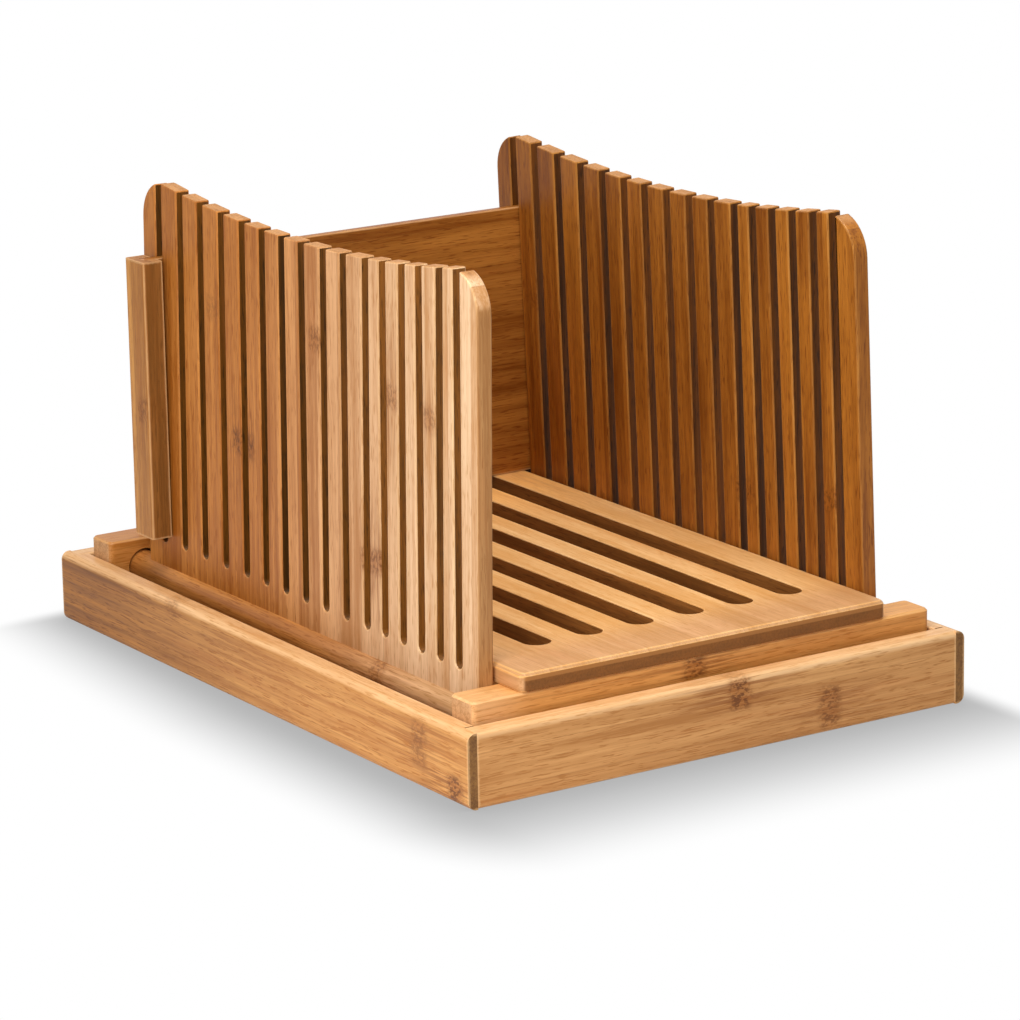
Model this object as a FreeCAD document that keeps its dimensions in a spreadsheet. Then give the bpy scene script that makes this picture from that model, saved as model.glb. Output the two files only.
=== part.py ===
"""Bread slicer guide with a lift-out crumb tray, as a parametric model in millimetres.

X runs across, Y to the back, Z up. The origin is the middle of the tray's footprint,
on the ground. Every size is a named cell of the sheet, and every piece is a body whose
sketches and features are bound to those cells.
"""
import FreeCAD, Part
import math
import os

import Sketcher

os.makedirs("parts", exist_ok=True)
doc = FreeCAD.newDocument("BreadSlicerGuide")
sheet = doc.addObject("Spreadsheet::Sheet", "Sizes")
Vector = FreeCAD.Vector

# Driving sizes. Each can be changed by itself.
SIZES = {
    # Crumb tray: four boards round a thin floor.
    "tray_width": 270,  # outside, across
    "tray_depth": 370,  # outside, front to back
    "tray_height": 34.5,  # height of the tray's boards
    "tray_board": 10,  # thickness of the tray's boards
    "tray_lip": 4.8,  # wood left outside the rabbet that houses an end board
    "tray_side_round": 4,  # rounding of a side board's outer long edges
    "tray_end_round": 2,  # rounding of an end board's outer long edges
    "tray_ease": 1,  # easing of the boards' inner top edges
    "floor_thickness": 4,  # thickness of the tray's floor panel
    "floor_raise": 4,  # height of the floor panel above the ground
    "floor_housing": 5,  # depth of the groove that holds the floor panel
    "floor_play": 0.5,  # room for the panel to swell in its groove
    # Frame: two rails under the slotted bread board.
    "rail_end_gap": 0.4,  # gap between a rail's end and the tray's side
    "frame_end_gap": 2.3,  # gap between a rail's face and the tray's end
    "rail_depth": 18.4,  # rail, front to back
    "rail_height": 35.8,  # rail, from the tray's floor to its top
    "rail_corner": 3,  # rounding of a rail's upright corners
    "rail_ease": 1,  # easing of a rail's top edges
    "board_thickness": 8.4,  # bread board, thickness
    "board_overhang": 0.7,  # bread board's end beyond the rail's outer face
    "board_corner": 4,  # rounding of the bread board's corners
    "board_ease": 1.5,  # easing of the bread board's top edges
    "crumb_slot_count": 6,  # crumb slots in the bread board
    "crumb_slot_width": 13.4,  # crumb slot width
    "crumb_slot_end": 33.5,  # wood left between a crumb slot and the board's end
    "crumb_slot_left": 27.5,  # wood left between the first slot and the board's left side
    "crumb_slot_right": 19.9,  # wood left between the last slot and the board's right side
    # Screws that hold the bread board to the rails from below.
    "screw_shank": 4,  # screw shank diameter
    "screw_head": 8,  # screw head diameter
    "screw_head_height": 3,  # screw head height
    "screw_bite": 6,  # screw's reach into the bread board
    "screw_spacing": 130,  # between the two screws of one rail
    "screw_well": 15,  # depth of the well in the rail's underside
    "screw_well_width": 10,  # diameter of that well
    "screw_clearance": 0.1,  # all round the shank
    # Walls: slotted panels standing on round rods.
    "rod_diameter": 16,  # hinge rod diameter
    "rod_inset": 19.3,  # hinge rod's axis in from the rails' ends
    "rod_drop": 14.8,  # hinge rod's axis below the rails' tops
    "rod_bevel": 1,  # bevel of the rod's ends
    "rod_socket": 10,  # depth of the socket in a rail
    "rod_end_gap": 0.5,  # rod's end to the socket's bottom
    "rod_play": 0.8,  # socket's radius over the rod's
    "rod_seat_gap": 0.3,  # under the rod, where it lies in its socket
    "wall_gap": 2.1,  # bread board's edge to a wall's inner face
    "wall_thickness": 7.6,  # wall thickness
    "wall_front_gap": 0.5,  # wall's front edge behind the front rail
    "wall_rear_gap": 12.5,  # wall's rear edge in front of the back rail
    "wall_housing": 7,  # depth of the wall's groove in the rod
    "wall_low_height": 172.8,  # wall's lowest top point above the rails' tops
    "wall_low_place": 3,  # that point behind the tray's middle
    "wall_sweep": 980,  # radius of the wall's hollowed top edge
    "wall_rear_corner": 18,  # rounding of the wall's upper rear corner
    "wall_front_corner": 19,  # rounding of the wall's upper front corner
    "wall_ease": 0.8,  # easing of the wall's long edges
    "left_lean": 1,  # degrees the left wall leans inward
    "right_lean": 1.9,  # degrees the right wall leans inward
    # Slots: one for the back board, then three slice thicknesses towards the front.
    "slot_width": 6,  # knife slot width
    "slot_floor": 4,  # slots' bottoms above the rails' tops
    "rear_slot_place": 15,  # rearmost slot's middle in from the wall's rear edge
    "rear_slot_play": 0.5,  # back board's play in its slot, each side
    "thick_slice": 19.7,  # spacing for thick slices
    "thick_count": 4,  # slots for thick slices
    "middle_slice": 18.05,  # spacing for middling slices
    "middle_count": 6,  # slots for middling slices
    "thin_slice": 15.4,  # spacing for thin slices, as many as there is room for
    "slot_front_place": 14,  # least distance of a slot's middle from the wall's front edge
    # Back board with a post at each end.
    "back_thickness": 5,  # back board thickness
    "back_height": 135.6,  # back board height
    "back_lift": 0.3,  # back board above the bread board
    "post_gap": 0.5,  # wall's outer face to the post
    "post_width": 10.3,  # post, across
    "post_depth": 18,  # post, front to back
    "post_housing": 6,  # back board's reach into a post
    "post_ease": 1.5,  # easing of the post's upright edges
    "back_ease": 1,  # easing of the back board's top edges
}

# Places and lengths that follow from them.
FOLLOWS = {
    "floor_top": "floor_raise + floor_thickness",
    "tray_inner_width": "tray_width - 2 * tray_board",
    "tray_inner_depth": "tray_depth - 2 * tray_board",
    "rail_length": "tray_inner_width - 2 * rail_end_gap",
    "frame_depth": "tray_inner_depth - 2 * frame_end_gap",
    "rail_span": "frame_depth - 2 * rail_depth",
    "rail_top": "floor_top + rail_height",
    "rail_place": "(frame_depth - rail_depth) / 2",
    "rod_place": "rail_length / 2 - rod_inset",
    "rod_height": "rail_top - rod_drop",
    "rod_length": "rail_span + 2 * (rod_socket - rod_end_gap)",
    "wall_inner": "rod_place - wall_thickness / 2",
    "wall_foot": "rod_diameter / 2 - wall_housing",
    "wall_front": "wall_front_gap - rail_span / 2",
    "wall_rear": "rail_span / 2 - wall_rear_gap",
    "wall_low": "rod_drop + wall_low_height",
    "board_width": "2 * (wall_inner - wall_gap)",
    "board_depth": "frame_depth + 2 * board_overhang",
    "board_top": "rail_top + board_thickness",
    "crumb_slot_first": "crumb_slot_left + crumb_slot_width / 2 - board_width / 2",
    "crumb_slot_last": "board_width / 2 - crumb_slot_right - crumb_slot_width / 2",
    "crumb_slot_pitch": "(crumb_slot_last - crumb_slot_first) / (crumb_slot_count - 1)",
    "screw_seat": "floor_top + screw_well",
    "slot_bottom": "rod_drop + slot_floor",
    "rear_slot": "wall_rear - rear_slot_place",
    "thick_first": "rear_slot - thick_slice",
    "middle_first": "rear_slot - thick_slice * thick_count - middle_slice",
    "middle_last": "middle_first - middle_slice * (middle_count - 1)",
    "thin_first": "middle_last - thin_slice",
    "thin_room": "middle_last - wall_front - slot_front_place",
    "thin_count": "floor(thin_room / thin_slice)",
    "rear_slot_width": "back_thickness + 2 * rear_slot_play",
    "back_bottom": "board_top + back_lift",
    "post_inner": "wall_inner + wall_thickness + post_gap",
}

for row, (name, number) in enumerate(SIZES.items(), 1):
    sheet.set("A%d" % row, str(number))
    sheet.setAlias("A%d" % row, name)
for row, (name, formula) in enumerate(FOLLOWS.items(), 1):
    sheet.set("B%d" % row, "=" + formula)
    sheet.setAlias("B%d" % row, name)
doc.recompute()


def value(formula):
    """A formula of named sizes as a number."""
    return float(sheet.evalExpression(formula))


def of_sheet(formula):
    """The same formula written for an object outside the sheet."""
    words = ""
    text = ""
    for letter in formula + " ":
        if letter.isalpha() or letter == "_":
            words += letter
        else:
            if words:
                text += "Sizes." + words
            words = ""
            text += letter
    return text.strip()


def new_body(label):
    body = doc.addObject("PartDesign::Body", label)
    body.Label = label
    return body


def place(thing, across="0", back="0", up="0", turn=0):
    """Turn about Z by a number of degrees, then move by formulas of the sheet."""
    thing.Placement = FreeCAD.Placement(Vector(), FreeCAD.Rotation(Vector(0, 0, 1), turn))
    for axis, formula in (("x", across), ("y", back), ("z", up)):
        thing.setExpression(".Placement.Base." + axis, of_sheet(formula))


def place_on_hinge(thing, side):
    """Move to one side's hinge axis, leaning inward about it."""
    place(thing, "%d * rod_place" % side, up="rod_height")
    lean = "left_lean" if side < 0 else "right_lean"
    thing.Placement.Rotation = FreeCAD.Rotation(Vector(0, -side, 0), value(lean))
    thing.setExpression(".Placement.Rotation.Angle", of_sheet(lean))


def new_sketch(body, role, offset="0"):
    """A sketch on one of the body's own origin planes, moved off it by a formula."""
    plane = [item for item in body.Origin.OriginFeatures if item.Role == role][0]
    sketch = body.newObject("Sketcher::SketchObject", body.Label + "_sketch")
    sketch.AttachmentSupport = (plane, [""])
    sketch.MapMode = "FlatFace"
    sketch.setExpression(".AttachmentOffset.Base.z", of_sheet(offset))
    return sketch


def bind(sketch, row, formula):
    """Give a new constraint a name and bind it to a formula of the sheet."""
    name = "held_%d" % row
    sketch.renameConstraint(row, name)
    sketch.setExpression("Constraints." + name, of_sheet(formula))


def hold(sketch, item, point, across=None, up=None):
    """Hold a point of an item to formulas: point 1 is its start, 2 its end, 3 its centre."""
    for kind, formula in (("DistanceX", across), ("DistanceY", up)):
        if formula is not None:
            rule = Sketcher.Constraint(kind, -1, 1, item, point, value(formula))
            bind(sketch, sketch.addConstraint(rule), formula)


def hold_radius(sketch, item, formula):
    rule = Sketcher.Constraint("Radius", item, value(formula))
    bind(sketch, sketch.addConstraint(rule), formula)


def join(sketch, kind, first, second):
    """The end of one item meets the start of the next, at a corner or tangent to it."""
    sketch.addConstraint(Sketcher.Constraint(kind, first, 2, second, 1))


def draw_rectangle(sketch, left, right, low, high):
    """A rectangle between four formulas."""
    x1, x2, y1, y2 = value(left), value(right), value(low), value(high)
    corners = [Vector(x1, y1, 0), Vector(x2, y1, 0), Vector(x2, y2, 0), Vector(x1, y2, 0)]
    for side in range(4):
        sketch.addGeometry(Part.LineSegment(corners[side], corners[(side + 1) % 4]), False)
    for side in range(4):
        join(sketch, "Coincident", side, (side + 1) % 4)
        sketch.addConstraint(Sketcher.Constraint("Vertical" if side % 2 else "Horizontal", side))
    hold(sketch, 0, 1, left, low)
    hold(sketch, 2, 1, right, high)


def draw_circle(sketch, across, up, radius):
    item = sketch.GeometryCount
    circle = Part.Circle(Vector(value(across), value(up), 0), Vector(0, 0, 1), value(radius))
    sketch.addGeometry(circle, False)
    hold(sketch, item, 3, across, up)
    hold_radius(sketch, item, radius)


def draw_u_slot(sketch, across, bottom, top, width):
    """An open slot with a round bottom: down one side, round, and up the other."""
    radius = width + " / 2"
    bend_height = "%s + %s" % (bottom, radius)
    x, z, r, high = value(across), value(bend_height), value(radius), value(top)
    circle = Part.Circle(Vector(x, z, 0), Vector(0, 0, 1), r)
    sketch.addGeometry(Part.LineSegment(Vector(x - r, high, 0), Vector(x - r, z, 0)), False)
    sketch.addGeometry(Part.ArcOfCircle(circle, math.pi, 2 * math.pi), False)
    sketch.addGeometry(Part.LineSegment(Vector(x + r, z, 0), Vector(x + r, high, 0)), False)
    sketch.addGeometry(Part.LineSegment(Vector(x + r, high, 0), Vector(x - r, high, 0)), False)
    left, bend, right, lid = range(4)
    join(sketch, "Tangent", left, bend)
    join(sketch, "Tangent", bend, right)
    join(sketch, "Coincident", right, lid)
    join(sketch, "Coincident", lid, left)
    sketch.addConstraint(Sketcher.Constraint("Vertical", left))
    sketch.addConstraint(Sketcher.Constraint("Horizontal", lid))
    hold_radius(sketch, bend, radius)
    hold(sketch, bend, 3, across, bend_height)
    hold(sketch, lid, 1, up=top)


def draw_long_slot(sketch, across, front, rear, width):
    """A closed slot with round ends, along the sketch's second axis."""
    radius = width + " / 2"
    near_centre, far_centre = "%s + %s" % (front, radius), "%s - %s" % (rear, radius)
    x, r, y1, y2 = value(across), value(radius), value(near_centre), value(far_centre)
    near_circle = Part.Circle(Vector(x, y1, 0), Vector(0, 0, 1), r)
    far_circle = Part.Circle(Vector(x, y2, 0), Vector(0, 0, 1), r)
    sketch.addGeometry(Part.ArcOfCircle(near_circle, math.pi, 2 * math.pi), False)
    sketch.addGeometry(Part.LineSegment(Vector(x + r, y1, 0), Vector(x + r, y2, 0)), False)
    sketch.addGeometry(Part.ArcOfCircle(far_circle, 0, math.pi), False)
    sketch.addGeometry(Part.LineSegment(Vector(x - r, y2, 0), Vector(x - r, y1, 0)), False)
    for side in range(4):
        join(sketch, "Tangent", side, (side + 1) % 4)
    hold_radius(sketch, 0, radius)
    hold(sketch, 0, 3, across, near_centre)
    hold(sketch, 2, 3, across, far_centre)


def pad(body, sketch, length, both_ways=False):
    feature = body.newObject("PartDesign::Pad", body.Label + "_pad")
    feature.Profile = sketch
    feature.SideType = "Symmetric" if both_ways else "One side"
    feature.setExpression("Length", of_sheet(length))
    doc.recompute()
    return feature


def pocket(body, sketch, length=None, reverse=False):
    """Cut a sketch out of the body: both ways through it, or to a depth one way."""
    before = body.Shape.Volume
    feature = body.newObject("PartDesign::Pocket", body.Label + "_pocket")
    feature.Profile = sketch
    if length is None:
        feature.SideType = "Symmetric"
        feature.Type = "ThroughAll"
    else:
        feature.setExpression("Length", of_sheet(length))
        feature.Reversed = reverse
    doc.recompute()
    if not feature.Shape.Volume < before:
        raise ValueError("a pocket of %s removed nothing" % body.Label)
    return feature


def repeat(body, feature, role, spacing, count, backwards=False):
    """Repeat a cut along one of the body's origin axes."""
    before = body.Shape.Volume
    pattern = body.newObject("PartDesign::LinearPattern", body.Label + "_pattern")
    pattern.Originals = [feature]
    axis = [item for item in body.Origin.OriginFeatures if item.Role == role][0]
    pattern.Direction = (axis, [""])
    pattern.Reversed = backwards
    pattern.Mode = "Spacing"
    pattern.setExpression("Offset", of_sheet(spacing))
    pattern.setExpression("Occurrences", of_sheet(count))
    body.Tip = pattern
    doc.recompute()
    if not pattern.Shape.Volume < before:
        raise ValueError("a pattern of %s removed nothing" % body.Label)
    return pattern


def edges_where(shape, test):
    """Names of the edges whose end points and middle all pass a test."""
    names = []
    for index, edge in enumerate(shape.Edges):
        middle = edge.valueAt((edge.FirstParameter + edge.LastParameter) / 2)
        points = [vertex.Point for vertex in edge.Vertexes] + [middle]
        if all(test(point) for point in points):
            names.append("Edge%d" % (index + 1))
    return names


def dress(body, kind, names, amount):
    """Fillet or chamfer the named edges of the body's last shape."""
    if not names:
        raise ValueError("no edges to dress on %s" % body.Label)
    base = body.Tip
    feature = body.newObject("PartDesign::" + kind, body.Label + "_" + kind.lower())
    feature.Base = (base, names)
    feature.setExpression("Radius" if kind == "Fillet" else "Size", of_sheet(amount))
    doc.recompute()
    return feature


def near(first, second):
    return abs(first - second) < 0.001


# --- Crumb tray ---------------------------------------------------------------------
def make_tray_side(label, side, turn):
    """A side board: rabbeted at both ends for the end boards, grooved for the floor."""
    body = new_body(label)
    sketch = new_sketch(body, "XY_Plane")
    draw_rectangle(sketch, "-tray_board / 2", "tray_board / 2", "-tray_depth / 2", "tray_depth / 2")
    pad(body, sketch, "tray_height")
    outer, inner = value("-tray_board / 2"), value("tray_board / 2")
    top = value("tray_height")
    names = edges_where(body.Shape, lambda p: near(p.x, outer) and (near(p.z, 0) or near(p.z, top)))
    dress(body, "Fillet", names, "tray_side_round")
    names = edges_where(body.Shape, lambda p: near(p.x, inner) and near(p.z, top))
    dress(body, "Fillet", names, "tray_ease")
    rabbet = "tray_lip - tray_board / 2"
    for front, rear in (("-tray_depth / 2", "-tray_inner_depth / 2"),
                        ("tray_inner_depth / 2", "tray_depth / 2")):
        sketch = new_sketch(body, "XY_Plane")
        draw_rectangle(sketch, rabbet, "tray_board", front, rear)
        pocket(body, sketch)
    sketch = new_sketch(body, "XZ_Plane")
    draw_rectangle(sketch, "tray_board / 2 - floor_housing", "tray_board", "floor_raise", "floor_top")
    pocket(body, sketch)
    place(body, "%d * (tray_width - tray_board) / 2" % side, turn=turn)
    return body


def make_tray_end(label, side, turn):
    """An end board, housed in the side boards' rabbets and grooved for the floor."""
    body = new_body(label)
    sketch = new_sketch(body, "XY_Plane")
    reach = "(tray_width / 2 - tray_lip)"
    draw_rectangle(sketch, "-" + reach, reach, "-tray_board / 2", "tray_board / 2")
    pad(body, sketch, "tray_height")
    outer, inner = value("-tray_board / 2"), value("tray_board / 2")
    top = value("tray_height")
    along = lambda p, y, z: near(p.y, y) and near(p.z, z)
    names = edges_where(body.Shape, lambda p: along(p, outer, 0) or along(p, outer, top))
    dress(body, "Fillet", names, "tray_end_round")
    names = edges_where(body.Shape, lambda p: along(p, inner, top))
    dress(body, "Fillet", names, "tray_ease")
    sketch = new_sketch(body, "YZ_Plane")
    draw_rectangle(sketch, "tray_board / 2 - floor_housing", "tray_board", "floor_raise", "floor_top")
    pocket(body, sketch)
    place(body, back="%d * (tray_depth - tray_board) / 2" % side, turn=turn)
    return body


def make_tray_floor():
    """The floor panel, loose in its grooves so that it can swell."""
    body = new_body("tray_floor")
    sketch = new_sketch(body, "XY_Plane")
    across = "(tray_inner_width / 2 + floor_housing - floor_play)"
    back = "(tray_inner_depth / 2 + floor_housing - floor_play)"
    draw_rectangle(sketch, "-" + across, across, "-" + back, back)
    pad(body, sketch, "floor_thickness")
    place(body, up="floor_raise")
    return body


# --- Frame ----------------------------------------------------------------------------
def make_rail(label, side, turn):
    """A rail with a blind socket for each hinge rod and screw holes from below."""
    body = new_body(label)
    sketch = new_sketch(body, "XY_Plane")
    draw_rectangle(sketch, "-rail_length / 2", "rail_length / 2", "-rail_depth / 2", "rail_depth / 2")
    pad(body, sketch, "rail_height")
    end, face = value("rail_length / 2"), value("rail_depth / 2")
    top = value("rail_height")
    names = edges_where(body.Shape, lambda p: near(abs(p.x), end) and near(abs(p.y), face))
    dress(body, "Fillet", names, "rail_corner")
    names = edges_where(body.Shape, lambda p: near(p.z, top))
    dress(body, "Chamfer", names, "rail_ease")
    sketch = new_sketch(body, "XZ_Plane", "-rail_depth / 2")
    for way in ("-", ""):
        draw_circle(sketch, way + "rod_place", "rail_height - rod_drop + rod_play - rod_seat_gap",
                    "rod_diameter / 2 + rod_play")
    pocket(body, sketch, "rod_socket", True)
    sketch = new_sketch(body, "XY_Plane")
    for way in ("-", ""):
        draw_circle(sketch, way + "screw_spacing / 2", "0", "screw_shank / 2 + screw_clearance")
    pocket(body, sketch)
    sketch = new_sketch(body, "XY_Plane")
    for way in ("-", ""):
        draw_circle(sketch, way + "screw_spacing / 2", "0", "screw_well_width / 2")
    pocket(body, sketch, "screw_well", True)
    place(body, back="%d * rail_place" % side, up="floor_top", turn=turn)
    return body


def make_bread_board():
    """The bread board: long crumb slots, and pilot holes for the screws below."""
    body = new_body("bread_board")
    sketch = new_sketch(body, "XY_Plane")
    draw_rectangle(sketch, "-board_width / 2", "board_width / 2", "-board_depth / 2", "board_depth / 2")
    pad(body, sketch, "board_thickness")
    edge, end = value("board_width / 2"), value("board_depth / 2")
    top = value("board_thickness")
    names = edges_where(body.Shape, lambda p: near(abs(p.x), edge) and near(abs(p.y), end))
    dress(body, "Fillet", names, "board_corner")
    names = edges_where(body.Shape, lambda p: near(p.z, top))
    dress(body, "Chamfer", names, "board_ease")
    sketch = new_sketch(body, "XY_Plane")
    draw_long_slot(sketch, "crumb_slot_first",
                   "crumb_slot_end - board_depth / 2", "board_depth / 2 - crumb_slot_end",
                   "crumb_slot_width")
    slot = pocket(body, sketch)
    repeat(body, slot, "X_Axis", "crumb_slot_pitch", "crumb_slot_count")
    sketch = new_sketch(body, "XY_Plane")
    for way in ("-", ""):
        for row in ("-rail_place", "rail_place"):
            draw_circle(sketch, way + "screw_spacing / 2", row, "screw_shank / 2 + screw_clearance")
    pocket(body, sketch, "screw_bite + screw_clearance", True)
    place(body, up="rail_top")
    return body


def make_frame_screws():
    """Four wood screws, head down in the rails' wells, biting into the bread board."""
    screws = []
    for way in (-1, 1):
        for row in (-1, 1):
            head = doc.addObject("Part::Cylinder", "screw_head")
            head.setExpression("Radius", of_sheet("screw_head / 2"))
            head.setExpression("Height", of_sheet("screw_head_height"))
            place(head, up="-screw_head_height")
            shank = doc.addObject("Part::Cylinder", "screw_shank")
            shank.setExpression("Radius", of_sheet("screw_shank / 2"))
            shank.setExpression("Height", of_sheet("rail_height - screw_well + screw_bite"))
            screw = doc.addObject("Part::Fuse", "screw")
            screw.Base = head
            screw.Tool = shank
            place(screw, "%d * screw_spacing / 2" % way, "%d * rail_place" % row, "screw_seat")
            screws.append(screw)
    group = doc.addObject("Part::Compound", "frame_screws")
    group.Label = "frame_screws"
    group.Links = screws
    return group


# --- Walls ------------------------------------------------------------------------------
def draw_wall_outline(sketch):
    """Upright ends, rounded upper corners and a long hollow sweep between them.

    The sweep's centre lies far above, so each corner's circle touches it from below:
    their centres are the two radii apart.
    """
    front, rear = value("wall_front"), value("wall_rear")
    foot = value("wall_foot")
    sweep = value("wall_sweep")
    hub = Vector(value("wall_low_place"), value("wall_low + wall_sweep"), 0)
    corners = []
    for edge, radius, way in ((rear, value("wall_rear_corner"), -1),
                              (front, value("wall_front_corner"), 1)):
        across = edge + way * radius
        drop = math.sqrt((sweep + radius) ** 2 - (across - hub.x) ** 2)
        corners.append((Vector(across, hub.y - drop, 0), radius))
    (rear_hub, rear_radius), (front_hub, front_radius) = corners
    lean = lambda start: math.atan2(hub.y - start.y, hub.x - start.x)
    up = Vector(0, 0, 1)
    rear_end = Vector(rear, rear_hub.y, 0)
    front_end = Vector(front, front_hub.y, 0)
    shapes = [
        Part.LineSegment(Vector(front, foot, 0), Vector(rear, foot, 0)),
        Part.LineSegment(Vector(rear, foot, 0), rear_end),
        Part.ArcOfCircle(Part.Circle(rear_hub, up, rear_radius), 0, lean(rear_hub)),
        Part.ArcOfCircle(Part.Circle(hub, up, sweep), lean(front_hub) + math.pi,
                         lean(rear_hub) + math.pi),
        Part.ArcOfCircle(Part.Circle(front_hub, up, front_radius), lean(front_hub), math.pi),
        Part.LineSegment(front_end, Vector(front, foot, 0)),
    ]
    for shape in shapes:
        sketch.addGeometry(shape, False)
    foot_line, rear_line, rear_arc, sweep_arc, front_arc, front_line = range(6)
    join(sketch, "Coincident", foot_line, rear_line)
    join(sketch, "Tangent", rear_line, rear_arc)
    sketch.addConstraint(Sketcher.Constraint("Tangent", rear_arc, 2, sweep_arc, 2))
    sketch.addConstraint(Sketcher.Constraint("Tangent", sweep_arc, 1, front_arc, 1))
    join(sketch, "Tangent", front_arc, front_line)
    join(sketch, "Coincident", front_line, foot_line)
    sketch.addConstraint(Sketcher.Constraint("Horizontal", foot_line))
    sketch.addConstraint(Sketcher.Constraint("Vertical", rear_line))
    sketch.addConstraint(Sketcher.Constraint("Vertical", front_line))
    hold(sketch, foot_line, 1, "wall_front", "wall_foot")
    hold(sketch, foot_line, 2, "wall_rear")
    hold_radius(sketch, rear_arc, "wall_rear_corner")
    hold_radius(sketch, front_arc, "wall_front_corner")
    hold_radius(sketch, sweep_arc, "wall_sweep")
    hold(sketch, sweep_arc, 3, "wall_low_place", "wall_low + wall_sweep")


def make_wall(label, side):
    """A slotted wall, drawn about its hinge rod's axis."""
    body = new_body(label)
    sketch = new_sketch(body, "YZ_Plane")
    draw_wall_outline(sketch)
    pad(body, sketch, "wall_thickness", True)
    foot = value("wall_foot")
    names = edges_where(body.Shape, lambda p: not near(p.z, foot))
    face = value("wall_thickness / 2")
    on_face = edges_where(body.Shape, lambda p: near(abs(p.x), face))
    dress(body, "Chamfer", [name for name in names if name in on_face], "wall_ease")
    over = "wall_low + wall_sweep / 10"
    sketch = new_sketch(body, "YZ_Plane")
    draw_u_slot(sketch, "rear_slot", "slot_bottom", over, "rear_slot_width")
    pocket(body, sketch)
    for first, spacing, count in (("thick_first", "thick_slice", "thick_count"),
                                  ("middle_first", "middle_slice", "middle_count"),
                                  ("thin_first", "thin_slice", "thin_count")):
        sketch = new_sketch(body, "YZ_Plane")
        draw_u_slot(sketch, first, "slot_bottom", over, "slot_width")
        slot = pocket(body, sketch)
        repeat(body, slot, "Y_Axis", spacing, count, True)
    place_on_hinge(body, side)
    return body


def make_rod(label, side):
    """A round hinge rod with bevelled ends and the groove that holds its wall."""
    body = new_body(label)
    sketch = new_sketch(body, "XZ_Plane")
    draw_circle(sketch, "0", "0", "rod_diameter / 2")
    pad(body, sketch, "rod_length", True)
    end = value("rod_length / 2")
    names = edges_where(body.Shape, lambda p: near(abs(p.y), end))
    dress(body, "Chamfer", names, "rod_bevel")
    sketch = new_sketch(body, "XY_Plane", "wall_foot")
    draw_rectangle(sketch, "-wall_thickness / 2", "wall_thickness / 2", "wall_front", "wall_rear")
    pocket(body, sketch, "rod_diameter", True)
    place_on_hinge(body, side)
    return body


# --- Back board and posts ------------------------------------------------------------
def make_back_board():
    """The lift-out back board, standing in the rearmost slots of both walls."""
    body = new_body("back_board")
    sketch = new_sketch(body, "XY_Plane")
    reach = "(post_inner + post_housing)"
    draw_rectangle(sketch, "-" + reach, reach, "-back_thickness / 2", "back_thickness / 2")
    pad(body, sketch, "back_height")
    top, face = value("back_height"), value("back_thickness / 2")
    names = edges_where(body.Shape, lambda p: near(p.z, top) and near(abs(p.y), face))
    dress(body, "Fillet", names, "back_ease")
    place(body, back="rear_slot", up="back_bottom")
    return body


def make_post(label, side, turn):
    """A post, grooved down its inner face for the back board's end."""
    body = new_body(label)
    sketch = new_sketch(body, "XY_Plane")
    draw_rectangle(sketch, "0", "post_width", "-post_depth / 2", "post_depth / 2")
    pad(body, sketch, "back_height")
    outer, face = value("post_width"), value("post_depth / 2")
    names = edges_where(body.Shape, lambda p: near(p.x, outer) and near(abs(p.y), face))
    dress(body, "Fillet", names, "post_ease")
    sketch = new_sketch(body, "XY_Plane")
    draw_rectangle(sketch, "-post_width", "post_housing", "-back_thickness / 2", "back_thickness / 2")
    pocket(body, sketch)
    place(body, "%d * post_inner" % side, "rear_slot", "back_bottom", turn)
    return body


pieces = [
    make_tray_side("tray_left_side", -1, 0),
    make_tray_side("tray_right_side", 1, 180),
    make_tray_end("tray_front_end", -1, 0),
    make_tray_end("tray_rear_end", 1, 180),
    make_tray_floor(),
    make_rail("front_rail", -1, 0),
    make_rail("back_rail", 1, 180),
    make_bread_board(),
    make_frame_screws(),
    make_wall("left_wall", -1),
    make_wall("right_wall", 1),
    make_rod("left_hinge_rod", -1),
    make_rod("right_hinge_rod", 1),
    make_back_board(),
    make_post("left_post", -1, 180),
    make_post("right_post", 1, 0),
]
doc.recompute()

for item in doc.Objects:
    if "Invalid" in item.State or "Error" in item.State:
        raise ValueError("%s is %s" % (item.Label, item.State))
for piece in pieces:
    if piece.Shape.isNull() or not piece.Shape.isValid():
        raise ValueError("%s has no valid shape" % piece.Label)
for piece in pieces:
    piece.Shape.exportStep("parts/" + piece.Label + ".step")
    box = piece.Shape.BoundBox
    print("%-16s %2d solid(s) %9.0f mm3  x %7.1f %7.1f  y %7.1f %7.1f  z %6.1f %6.1f" % (
        piece.Label, len(piece.Shape.Solids), piece.Shape.Volume,
        box.XMin, box.XMax, box.YMin, box.YMax, box.ZMin, box.ZMax))
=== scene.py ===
# %% [markdown]
# # A bamboo bread slicer guide
#
# The object is a frame for slicing a loaf evenly. Two slotted walls stand on round rods, a
# slotted board carries the loaf, a back board closes the rear, and a shallow tray catches
# the crumbs. Everything is honey-brown bamboo, so most of this lesson is about one wood
# seen on many boards, each with its own grain direction.

# %% Load the packed frame
import math

import bmesh
import bpy
from mathutils import Matrix, Vector


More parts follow.
